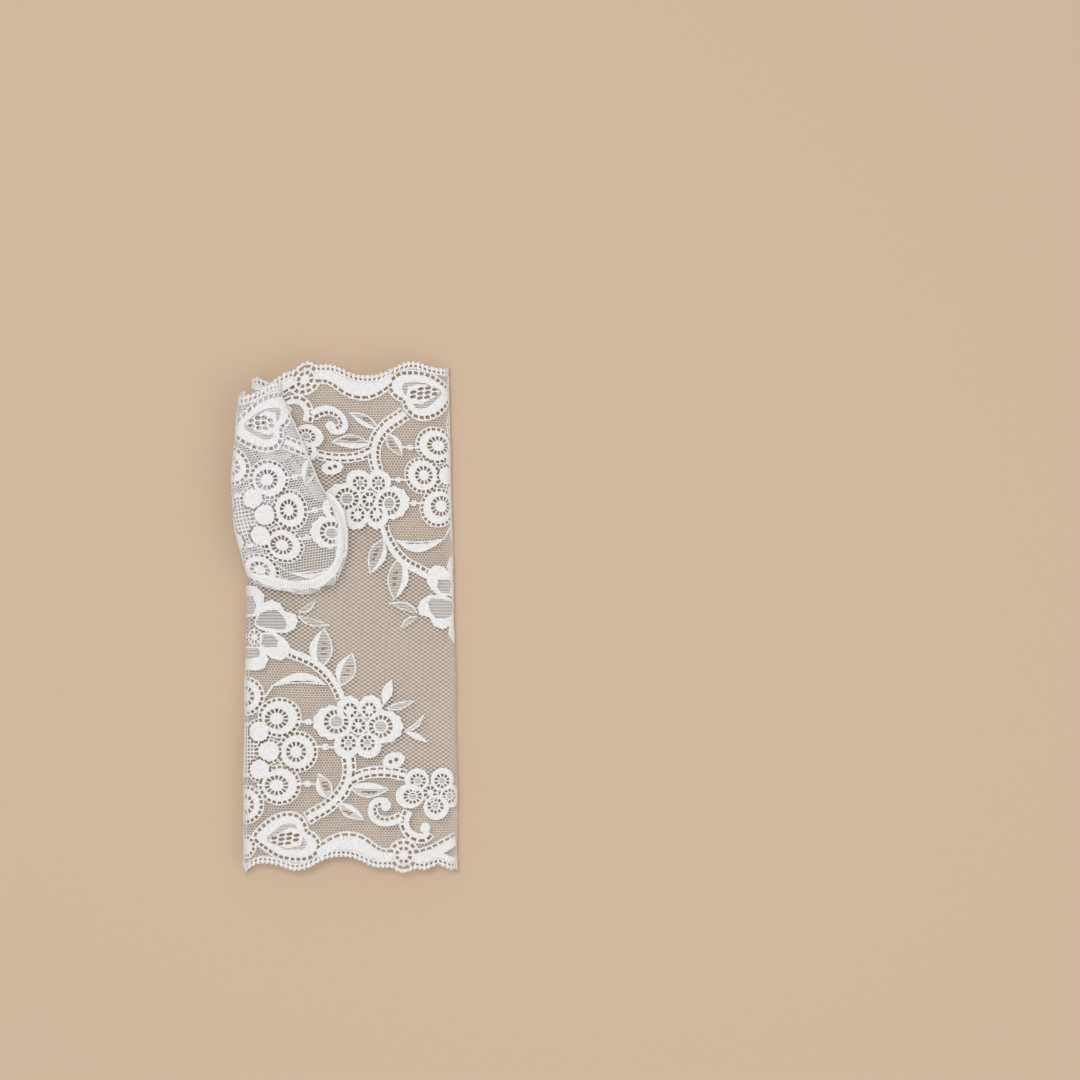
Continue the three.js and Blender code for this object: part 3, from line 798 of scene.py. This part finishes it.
def make_mesh(name, points, faces, material, flat):
    """A mesh object from points in millimetres. flat holds its places in the flat lace, for the UV map."""
    mesh = bpy.data.meshes.new(name)
    points = (points + [SHIFT_X, 0, 0]) * 0.001
    mesh.vertices.add(len(points))
    mesh.vertices.foreach_set("co", points.astype(np.float32).ravel())
    sides = faces.shape[1]
    mesh.loops.add(faces.size)
    mesh.polygons.add(len(faces))
    mesh.loops.foreach_set("vertex_index", faces.astype(np.int32).ravel())
    mesh.polygons.foreach_set("loop_start", np.arange(0, faces.size, sides, dtype=np.int32))
    mesh.polygons.foreach_set("use_smooth", np.ones(len(faces), bool))
    mesh.update(calc_edges=True)
    layer = mesh.uv_layers.new(name="lace")
    layer.data.foreach_set("uv", flat[faces.ravel()].astype(np.float32).ravel())
    shape = bmesh.new()
    shape.from_mesh(mesh)
    bmesh.ops.recalc_face_normals(shape, faces=shape.faces)
    shape.to_mesh(mesh)
    shape.free()
    mesh.materials.append(material)
    obj = bpy.data.objects.new(name, mesh)
    bpy.context.scene.collection.objects.link(obj)
    return obj


def thread_mesh(panel, paths, radius, height):
    """Thin tubes along flat paths, laid on the panel's surface. height is a share of their radius."""
    sides = 3
    flat = np.concatenate(paths)
    lengths = np.array([len(path) for path in paths])
    first = np.zeros(len(flat), bool)
    first[np.r_[0, np.cumsum(lengths)[:-1]]] = True
    last = np.roll(first, -1)
    s, y = flat.T
    centre = panel.surface(s, y, np.zeros(len(flat)))
    normal = panel.surface(s, y, np.ones(len(flat))) - centre
    normal /= np.linalg.norm(normal, axis=1, keepdims=True)
    ahead = np.where(last[:, None], 0, np.roll(centre, -1, 0) - centre)
    behind = np.where(first[:, None], 0, centre - np.roll(centre, 1, 0))
    run = ahead + behind
    run /= np.maximum(np.linalg.norm(run, axis=1, keepdims=True), 1e-9)
    side = np.cross(run, normal)
    turns = (np.arange(sides) + 0.5) * 2 * math.pi / sides + math.pi / 2
    rings = [centre + radius * (math.cos(t) * side + height * math.sin(t) * normal) for t in turns]
    points = np.stack(rings, 1).reshape(-1, 3)
    start = np.flatnonzero(~last) * sides
    quads = []
    for i in range(sides):
        k = (i + 1) % sides
        quads.append(np.stack([start + i, start + sides + i, start + sides + k, start + k], -1))
    return points, np.concatenate(quads), np.repeat(flat, sides, 0)


def runs(points, keep):
    """Splits a line into the stretches whose steps are all kept. keep has one entry for each step."""
    found = []
    start = None
    for i, wanted in enumerate(keep):
        if wanted and start is None:
            start = i
        if start is not None and not wanted:
            found.append(points[start : i + 1])
            start = None
    if start is not None:
        found.append(points[start:])
    return found


def laid_threads(panel, lines, clear_of, fine=None):
    """The stretches of lines on the panel, clear of some shapes. fine keeps them in or out of its zone."""
    steps = np.concatenate([(line[1:] + line[:-1]) / 2 for line in lines])
    keep = panel.kept(steps)
    if fine is not None:
        keep[keep] = inside_any(steps[keep], panel.shapes["fine"]) == fine
    keep[keep] = ~inside_any(steps[keep], clear_of)
    kept, at = [], 0
    for line in lines:
        kept += runs(line, keep[at : at + len(line) - 1])
        at += len(line) - 1
    return kept


def net_frame(panel):
    """The turn of the panel's net, its middle, and how far it reaches from there."""
    low, high = panel.outline.min(0) - 4, panel.outline.max(0) + 4
    turn = math.radians(panel.net_turn)
    spin = np.array([[math.cos(turn), math.sin(turn)], [-math.sin(turn), math.cos(turn)]])
    return spin, (low + high) / 2, np.linalg.norm(high - low) / 2


def fine_net(panel):
    """The fine net: wavy level threads, with short upright ones between them."""
    spin, middle, reach = net_frame(panel)
    wide, tall = FINE_NET
    lines = []
    count = int(reach / tall)
    for row in range(-count, count + 1):
        x = np.arange(-reach, reach, wide / 2)
        wave = 0.16 * np.cos(2 * math.pi * (x / wide + row / 2)) + 0.3 * np.sin(x / 9)
        lines.append(np.stack([x, row * tall + wave], -1))
        for x in np.arange(-reach, reach, wide) + (row % 2) * wide / 2:
            lift = 0.3 * math.sin(x / 9)
            lines.append(np.array([(x, row * tall + lift), (x, (row + 1) * tall + lift)]))
    lines = [line @ spin + middle for line in lines]
    return laid_threads(panel, lines, panel.shapes["clear"], fine=True)


def open_net(panel):
    """The open net: threads that slant both ways and make diamonds."""
    spin, middle, reach = net_frame(panel)
    wide, tall = OPEN_NET
    lines = []
    count = int(reach / tall * 1.8)
    i = np.arange(-int(reach / wide) - 1, int(reach / wide) + 2)
    for sign in (1, -1):
        for row in range(-count, count + 1):
            lines.append(np.stack([i * wide, sign * i * tall + row * 2 * tall], -1))
    lines = [line @ spin + middle for line in lines]
    return laid_threads(panel, lines, panel.shapes["clear"], fine=False)


def net_knots(panel):
    """A short thick stitch at each crossing of the open net."""
    spin, middle, reach = net_frame(panel)
    wide, tall = OPEN_NET
    columns, rows = (np.arange(-int(reach / size), int(reach / size) + 1) for size in OPEN_NET)
    i, j = np.meshgrid(columns, rows)
    crossing = (i + j) % 2 == 0
    at = np.stack([i[crossing] * wide, j[crossing] * tall], -1)
    laid = at @ spin + middle
    keep = panel.kept(laid)
    keep[keep] = ~inside_any(laid[keep], panel.shapes["fine"] + panel.shapes["clear"])
    return [(spot + [[-KNOT_HALF, 0.0], [KNOT_HALF, 0.0]]) @ spin + middle for spot in at[keep]]


def sheer_fill(panel):
    """The level threads that fill the sheer parts, each from one side of its fill to the other."""
    lines = []
    for polygon in panel.shapes["sheer"]:
        after = np.roll(polygon, -1, 0)
        for y in np.arange(polygon[:, 1].min() + SHEER_PITCH / 3, polygon[:, 1].max(), SHEER_PITCH):
            hit = (polygon[:, 1] > y) != (after[:, 1] > y)
            a, b = polygon[hit], after[hit]
            xs = np.sort(a[:, 0] + (y - a[:, 1]) / (b[:, 1] - a[:, 1]) * (b[:, 0] - a[:, 0]))
            for x0, x1 in zip(xs[::2], xs[1::2]):
                if x1 - x0 > 0.4:
                    x = np.linspace(x0, x1, max(2, round((x1 - x0) / 0.9) + 1))
                    lines.append(np.stack([x, np.full(len(x), y)], -1))
    return laid_threads(panel, lines, panel.shapes["gaps"])


def ride(obj):
    """Puts a piece on the one body."""
    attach(obj, "root")


def lace_pieces(panel, node, grid, net_radius):
    """All the lace of one panel: its cloth work, both nets and its sheer fills."""
    flat, triangles = cloth(panel, grid)
    points, faces, uv = sheet_mesh(panel, flat, triangles)
    work = make_mesh(f"{panel.name}_cloth_work", points, faces, cloth_white, uv)
    work.data.set_sharp_from_angle(angle=math.radians(50))
    ride(work)
    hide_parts(node)
    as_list(panel.rests_on)
    for kind, material, paths, radius, height in (
        ("open_net", net_white, open_net(panel), net_radius, 1.0),
        ("fine_net", net_white, fine_net(panel), net_radius, 1.0),
        ("net_knots", net_white, net_knots(panel), KNOT_RADIUS, KNOT_HEIGHT),
        ("sheer_fill", sheer_white, sheer_fill(panel), SHEER_RADIUS, SHEER_HEIGHT),
    ):
        points, faces, uv = thread_mesh(panel, paths, radius, height)
        piece = make_mesh(f"{panel.name}_{kind}", points, faces, material, uv)
        ride(piece)


# The hand tube's lace: its scallops are the wrist edge and the finger edge, and the open net joins both
# halves. The back mirrors the palm at both folds, where a careful maker matches them, and has no thumb hole.
# The grid cuts the cloth work into smaller pieces, most closely where the folds bend it.
HAND_FLAT = (0.093, 0.214)
WRIST_FLOWER_X, FINGER_FLOWER_X = -44.5, 47.9
# The thumb's seam draws the finger half's lace to the right and up: the depth, and how far there.
FINGER_DRAW = np.array(
    [
        (0, 0, 0), (10, 0.6, 0), (20, 2.6, 0), (31, 5.2, 0.2), (44, 7.6, 1.8), (53, 8.3, 2.7),
        (65, 7.8, 3.0), (82, 6.6, 2.8), (97, 5.2, 1.6), (117, 4.0, 1.0),
    ]
)
# It fades out to the right of the palm's middle, by this much for each millimetre.
DRAW_FADE, DRAW_FADE_START, DRAW_FADE_REACH = 0.015, 1, 36
# The outline keeps the outermost thread, so it runs this far outside its middle line.
SCALLOP_THREAD = 0.75
hand_grid = (
    np.r_[np.arange(-50, -33, 1.6), np.arange(-30, 32, 6), np.arange(34, 51, 1.6)],
    np.arange(-110, 111, 6.0),
)


def hand_outline():
    """The outline of the palm's lace between the folds, and of the back's."""
    ends = []
    for end, axis in ((-1, WRIST_FLOWER_X), (1, FINGER_FLOWER_X)):
        quarter = girth(end * HALF) / 4
        s = np.linspace(-quarter, quarter, 190)
        ends.append(np.stack([s, end * (HALF - scallop_edge(s - axis) + SCALLOP_THREAD)], -1))
    y = np.linspace(-HALF, HALF, 40)[1:-1]
    left = np.stack([-girth(y) / 4, y], -1)
    right = np.stack([girth(y) / 4, y], -1)
    return np.vstack([ends[0], right, ends[1][::-1], left[::-1]])


def back_surface(s, y, out):
    """The back of the tube, where its lace mirrors the palm's."""
    return hand_surface(girth(y) / 2 - s, y, out)


def wrist_place(mirror, repeat=0):
    """Lays a shape of the wrist half. mirror is 1 or -1, and repeat moves it by whole repeats."""

    def place(polygon):
        along = WRIST_FLOWER_X + repeat * REPEAT + mirror * polygon[:, 0]
        return np.stack([along, polygon[:, 1] - HALF], -1)

    return place


def finger_place(mirror, repeat=0):
    """Lays a shape of the finger half, in the same way."""

    def place(polygon):
        s, deep = FINGER_FLOWER_X - repeat * REPEAT - mirror * polygon[:, 0], polygon[:, 1]
        right, up = (cubic(deep, FINGER_DRAW[:, 0], FINGER_DRAW[:, i]) for i in (1, 2))
        fade = 1 - DRAW_FADE * np.clip(s - DRAW_FADE_START, 0, DRAW_FADE_REACH)
        return np.stack([s + right * fade, HALF - deep + up], -1)

    return place


hand_places = []
for place in (wrist_place, finger_place):
    hand_places += [(place(mirror), lace) for mirror in (1, -1)]
    hand_places += [(place(mirror), border) for mirror in (1, -1)]
    hand_places.append((place(-1, 1), border))
back = Panel("back", hand_outline(), [], hand_places, back_surface, HAND_FLAT, ["floor"], mirrored=True)
lace_pieces(back, "hand_tube", hand_grid, net_radius=0.085)

thumb_opening = oval(HOLE_X, HOLE_Y, HOLE_WIDTH / 2 - SEAM_GAP, HOLE_LENGTH / 2 - SEAM_GAP, count=64)
palm_rests_on = ["back_cloth_work"]
palm = Panel("palm", hand_outline(), [thumb_opening], hand_places, hand_surface, HAND_FLAT, palm_rests_on)
lace_pieces(palm, "hand_tube", hand_grid, net_radius=0.095)

# The sleeve's lace: cut on a slant from the same galloon, with the large flower beside its left fold and the
# scallops at its free end. It isn't stretched, so its net is denser, and its threads are drawn thicker here.
SLEEVE_FLAT = (0.1, 0.083)
SLEEVE_FLOWER = (5.1, 42.6)
SLEEVE_SLANT = 10.0
SLEEVE_STRETCH = 0.97
# Its folds draw its lace too: the depth, and how far to the right and down there.
SLEEVE_DRAW = np.array(
    [
        (0, 0, 0), (9.5, -2.7, 2.1), (20, -1.2, 3.0), (32.5, 1.1, 3.2), (46.4, 0, 2.6), (60.8, -0.5, 1.9),
        (69.8, -1.5, 0), (77, -1.5, -1.5), (117, -1.5, -1.5),
    ]
)
# The gathers at its base also draw in what lies far to the right.
GATHER, GATHER_START, GATHER_REACH = 0.12, 13, 22
sleeve_grid = (
    np.r_[np.arange(-12, 13, 1.2), np.arange(14, 60, 3), -np.arange(14, 60, 3)],
    np.arange(10, 100, 4.0),
)


def sleeve_turn(along, up):
    """Places on the sleeve, from distances along its lace and towards its free end, from the large flower."""
    c, s = math.cos(math.radians(SLEEVE_SLANT)), math.sin(math.radians(SLEEVE_SLANT))
    return np.stack([SLEEVE_FLOWER[0] + along * c - up * s, SLEEVE_FLOWER[1] + along * s + up * c], -1)


def sleeve_outline():
    """The outline of the sleeve's lace, unrolled from its left fold."""
    y = np.linspace(SLEEVE_START + 0.3, SLEEVE_START + THUMB_LENGTH - 6, 50)
    reach = sleeve_reach(y)
    sides = [np.stack([reach, y], -1), np.stack([-reach, y], -1)[::-1]]
    along = np.linspace(44, -48, 160)
    end = sleeve_turn(along, (LARGE_FLOWER_DEEP - scallop_edge(along) + SCALLOP_THREAD) / SLEEVE_STRETCH)
    reach = sleeve_reach(end[:, 1])
    return np.vstack([sides[0], end[np.abs(end[:, 0]) < reach - 0.05], sides[1]])


def sleeve_mouth():
    """The opening in the sleeve's under side, over the thumb hole."""
    inset = SEAM_GAP + THUMB_SEAM_WIDTH
    x, y = oval(HOLE_X, HOLE_Y, HOLE_WIDTH / 2 - inset, HOLE_LENGTH / 2 - inset, count=48).T
    left, _, radius = sleeve_section(y)
    return np.stack([-(math.pi * radius / 2 + x - left - radius), y], -1)


def sleeve_place(mirror):
    """Lays a shape on the sleeve. mirror is 1 or -1."""

    def place(polygon):
        along, deep = mirror * polygon[:, 0], polygon[:, 1]
        along = along - GATHER * np.clip(along - GATHER_START, 0, GATHER_REACH)
        right, down = (cubic(deep, SLEEVE_DRAW[:, 0], SLEEVE_DRAW[:, i]) for i in (1, 2))
        return sleeve_turn(along + right, (LARGE_FLOWER_DEEP - deep) / SLEEVE_STRETCH - down)

    return place


sleeve_places = [(sleeve_place(mirror), design) for design in (lace, border) for mirror in (1, -1)]
sleeve = Panel(
    "sleeve",
    sleeve_outline(),
    [sleeve_mouth()],
    sleeve_places,
    sleeve_surface,
    SLEEVE_FLAT,
    ["palm_cloth_work"],
    net_turn=SLEEVE_SLANT,
)
lace_pieces(sleeve, "thumb_tube", sleeve_grid, net_radius=0.15)

# The thumb seam: white nylon overlock stitches, close together over the folded rim where the sleeve is sewn
# to the hole. All four seams are made like this one, as a thread wound over a flat core.
seam_white = thread_material(
    "white_overlock_thread", ("#EFEDEA", "#FAF9F7"), roughness=0.55, pitch=0.35, relief=0.6
)
ROUND_HOLE = math.pi * (HOLE_WIDTH + HOLE_LENGTH - 2 * (SEAM_GAP + THUMB_SEAM_WIDTH)) / 2


def seam_tube(name, rings, flat):
    """A tube through rings of points. rings holds, for each place round it, the points along it."""
    sides = len(rings)
    points = np.stack(rings, 1).reshape(-1, 3)
    start = np.arange(len(flat) - 1) * sides
    quads = []
    for i in range(sides):
        k = (i + 1) % sides
        quads.append(np.stack([start + i, start + k, start + sides + k, start + sides + i], -1))
    return make_mesh(name, points, np.concatenate(quads), seam_white, np.repeat(flat, sides, 0))


def overlock(name, place, length, node, pitch, width, thickness):
    """Stitches wound over a core. place turns distances along the seam, across it and up into points."""
    turns = round(length / pitch)
    steps = 12
    t = np.arange(turns * steps + 1) / steps
    along = t / turns * length
    angle = 2 * math.pi * t
    cross = (width / 2) * np.sign(np.cos(angle)) * np.abs(np.cos(angle)) ** 0.8
    up = (thickness / 2) * np.sin(angle)
    centre = place(along, cross, up)
    radius = pitch * 0.36
    outward = place(along, cross * 1.2, up * 1.2) - centre
    outward /= np.maximum(np.linalg.norm(outward, axis=1, keepdims=True), 1e-9)
    run = np.gradient(centre, axis=0)
    run /= np.linalg.norm(run, axis=1, keepdims=True)
    side = np.cross(run, outward)
    rings = []
    for i in range(4):
        turn = i * math.pi / 2
        rings.append(centre + radius * (math.cos(turn) * side + math.sin(turn) * outward))
    stitches = seam_tube(name, rings, np.stack([along, cross], -1))
    # The core's two end rings are almost closed.
    count = round(length / 2.5) + 2
    along = np.r_[0, np.linspace(0, length, count - 1), length]
    swell = np.r_[0.02, np.ones(count - 1), 0.02]
    rings = []
    for turn in np.arange(12) * 2 * math.pi / 12:
        cross, up = swell * width * 0.46 * math.cos(turn), swell * thickness * 0.4 * math.sin(turn)
        rings.append(place(along, cross, up))
    core = seam_tube(f"{name}_core", rings, np.stack([along, along * 0], -1))
    for obj in (stitches, core):
        ride(obj)
        if node:
            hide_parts(node)


def round_hole(along, cross, up):
    """Places on the seam round the thumb hole."""
    wide = HOLE_WIDTH / 2 - SEAM_GAP - THUMB_SEAM_WIDTH / 2
    long = HOLE_LENGTH / 2 - SEAM_GAP - THUMB_SEAM_WIDTH / 2
    turn = along / ROUND_HOLE * 2 * math.pi
    x = HOLE_X + (wide + cross) * np.cos(turn)
    y = HOLE_Y + (long + cross) * np.sin(turn)
    return np.stack([x, y, palm_top(x, y) - SEAM_THICKNESS / 2 + up], -1)


overlock(
    "thumb_seam_stitches", round_hole, ROUND_HOLE, "thumb_seam",
    pitch=0.55, width=2.8, thickness=0.7,
)

# The side seam: the joint of the lace strip's two ends. It is overlocked with the same thread, and lies
# inside the tube, against the thumb-side fold.
SIDE_SEAM_HALF = 100.3
SIDE_SEAM_END = 0.7


def inside_fold(along, cross, up):
    """Places on the side seam, against the inside of the thumb-side fold."""
    y = along - SIDE_SEAM_HALF
    radius, flat = section(y)
    depth = CLOTH_WALL + SEAM_GAP + SEAM_THICKNESS / 2 - up
    turn = cross / radius + math.pi / 2
    arc = radius - depth
    return np.stack([-(flat + arc * np.sin(turn)), y, radius + arc * np.cos(turn)], -1)


side_seam_length = 2 * SIDE_SEAM_HALF - 2 * SIDE_SEAM_END
overlock(
    "side_seam_stitches", inside_fold, side_seam_length, "side_seam",
    pitch=0.6, width=3.4, thickness=0.6,
)

# The band over the sleeve's base: its lace is gathered and stitched down there. It starts high on the right
# fold and runs down it, round the heel and up to the left fold.
BASE_LINE = smooth(
    [
        (-9.8, 52.0), (-5.2, 45.6), (-3.2, 39.0), (-3.0, 31.4), (-3.6, 26.2), (-5.6, 21.2), (-9.2, 16.6),
        (-14.4, 13.9), (-21.0, 13.0), (-28.0, 13.6), (-34.0, 14.8), (-39.0, 16.4), (-43.0, 18.6),
    ],
    1.5,
)
BASE_GAPS = np.r_[0, np.cumsum(np.linalg.norm(np.diff(BASE_LINE, axis=0), axis=1))]


def sleeve_top(x, y):
    """How high the sleeve's upper side is over a place, with its two rounded folds."""
    left, right, radius = sleeve_section(y)
    over = np.clip(np.maximum(left + radius - x, x - right + radius), 0, radius * 0.96)
    return palm_top(x, y) + THUMB_WALL / 2 + SEAM_GAP + radius + np.sqrt(radius**2 - over**2)


def sleeve_base(along, cross, up):
    """Places on the band, which is uneven and narrows to its ends."""
    ends = np.clip(np.minimum(along, BASE_GAPS[-1] - along) / 9, 0, 1)
    cross = cross * (0.3 + 0.7 * ends) * (1 + 0.12 * np.sin(along / 3.1) + 0.1 * np.sin(along / 1.3))
    side = across(BASE_LINE)
    x, y = (np.interp(along, BASE_GAPS, BASE_LINE[:, k]) for k in (0, 1))
    x, y = (at + cross * np.interp(along, BASE_GAPS, side[:, k]) for k, at in enumerate((x, y)))
    return np.stack([x, y, sleeve_top(x, np.maximum(y, SLEEVE_START + 0.6)) + 0.15 + up], -1)


overlock(
    "sleeve_base_stitches", sleeve_base, BASE_GAPS[-1], None,
    pitch=1.0, width=4.3, thickness=0.35,
)

# The sleeve's own seam: a narrow overlocked one, down its right fold from the free end to the band.
SLEEVE_SEAM_LENGTH, SLEEVE_SEAM_INSET = 44.0, 1.5


def sleeve_right(along, cross, up):
    """Places on the sleeve's own seam, down its right fold from the free end."""
    y = SLEEVE_START + THUMB_LENGTH - SLEEVE_SEAM_INSET - along
    return sleeve_surface(sleeve_reach(y) - SLEEVE_SEAM_INSET + cross, y, up + 0.2)


overlock(
    "sleeve_fold_stitches", sleeve_right, SLEEVE_SEAM_LENGTH, None,
    pitch=0.8, width=1.2, thickness=0.35,
)

# The stage: a plain pale floor, soft studio light, and the camera straight above and far off, with a long
# lens. The picture is PICTURE pixels wide, a pixel is PIXEL millimetres on the palm, and the mitten's middle
# lies off the picture's, at a pixel of its own.
PICTURE, PIXEL = 1080, 0.42
MITTEN_PIXEL_X, MITTEN_PIXEL_Y = 350, 616
LENS, SENSOR = 330, 36
PALM_HEIGHT = 0.011
floor_mesh = bpy.data.meshes.new("floor")
floor_mesh.from_pydata([(-2, -2, 0), (2, -2, 0), (2, 2, 0), (-2, 2, 0)], [], [(0, 1, 2, 3)])
floor_object = bpy.data.objects.new("floor", floor_mesh)
bpy.context.scene.collection.objects.link(floor_object)
floor_material = bpy.data.materials.new("plain_pale_floor")
floor_material.use_nodes = True
floor_shader = floor_material.node_tree.nodes["Principled BSDF"]
floor_shader.inputs["Base Color"].default_value = linear("#D2B99F")
floor_shader.inputs["Roughness"].default_value = 0.9
floor_mesh.materials.append(floor_material)

camera_data = bpy.data.cameras.new("camera")
camera_data.lens = LENS
camera_data.clip_end = 30
camera = bpy.data.objects.new("camera", camera_data)
bpy.context.scene.collection.objects.link(camera)
bpy.context.scene.camera = camera
camera.location = (
    (SHIFT_X + (PICTURE / 2 - MITTEN_PIXEL_X) * PIXEL) * 0.001,
    (MITTEN_PIXEL_Y - PICTURE / 2) * PIXEL * 0.001,
    PICTURE * PIXEL * 0.001 * LENS / SENSOR + PALM_HEIGHT,
)

world = bpy.data.worlds.new("studio")
bpy.context.scene.world = world
world.use_nodes = True
world.node_tree.nodes["Background"].inputs["Color"].default_value = (1, 1, 1, 1)
world.node_tree.nodes["Background"].inputs["Strength"].default_value = 0.55
bpy.context.scene.view_settings.view_transform = "Standard"


def area_light(name, place, size, power):
    """A soft square light that points at the middle of the floor."""
    data = bpy.data.lights.new(name, "AREA")
    data.size = size
    data.energy = power
    light = bpy.data.objects.new(name, data)
    light.location = place
    light.rotation_euler = (-Vector(place)).to_track_quat("-Z", "Y").to_euler()
    bpy.context.scene.collection.objects.link(light)


area_light("key", (-0.14, 0.2, 1.5), size=0.4, power=8.5)
area_light("fill", (0.8, -0.5, 1.1), size=0.9, power=2.5)
